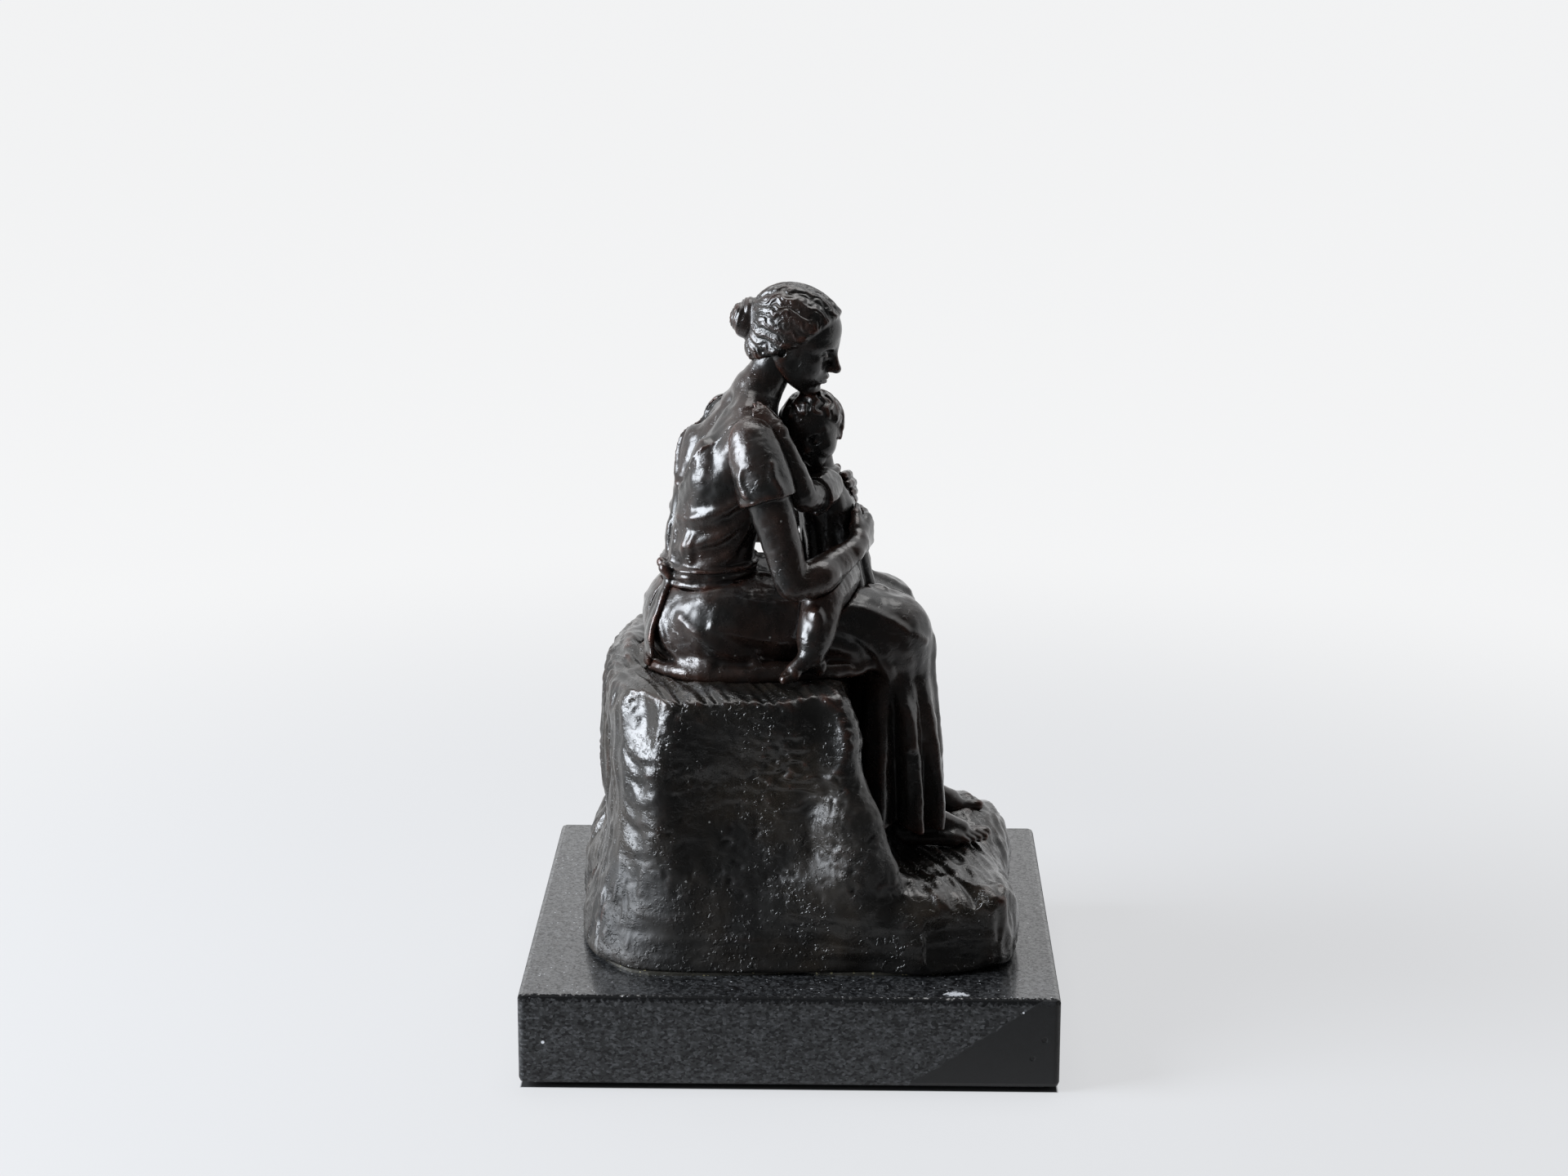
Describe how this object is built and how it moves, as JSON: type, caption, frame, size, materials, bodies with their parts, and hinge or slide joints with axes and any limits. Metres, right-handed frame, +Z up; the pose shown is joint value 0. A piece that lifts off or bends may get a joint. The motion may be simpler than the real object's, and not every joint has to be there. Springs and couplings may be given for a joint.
{
  "type": "mother and child figurine",
  "caption": "Dark bronze figurine of a seated mother holding a child on her lap, on a rough cast rock bolted to a square black stone plinth with a felt underside.",
  "frame": {"origin": "centre of the felt's underside, on the surface that the figurine stands on", "axes": "+Z up, +X the way the mother's feet point, the rock's near side towards -Y"},
  "size_m": [0.11, 0.11, 0.1556],
  "materials": {
    "bronze": "near-black brown patina, waxed, rubbed reddish on the high points",
    "stone": "honed fine-grained black granite with eased edges",
    "felt": "black felt",
    "adhesive": "cured bedding adhesive",
    "steel": "zinc-plated fixings",
    "brass": "plain joint pins"
  },
  "bodies": {
    "root": {"rock_base": "bronze", "mother_skirt": "bronze", "mother_torso": "bronze", "mother_head": "bronze", "mother_right_arm": "bronze", "mother_left_arm": "bronze", "mother_right_foot": "bronze", "mother_left_foot": "bronze", "child_body": "bronze", "child_head": "bronze", "child_left_arm": "bronze", "child_right_arm": "bronze", "child_left_leg": "bronze", "child_right_leg": "bronze", "waist_pin": "brass", "mother_neck_pin": "brass", "right_shoulder_pin": "brass", "left_shoulder_pin": "brass", "right_foot_pin": "brass", "left_foot_pin": "brass", "child_seat_pin": "brass", "child_neck_pin": "brass", "rear_stud": "steel", "front_stud": "steel", "rear_washer": "steel", "front_washer": "steel", "rear_nut": "steel", "front_nut": "steel", "seat_screw": "steel", "seat_washer": "steel", "stone_plinth": "stone", "felt_pad": "felt", "bedding_adhesive": "adhesive"}
  },
  "joints": []
}
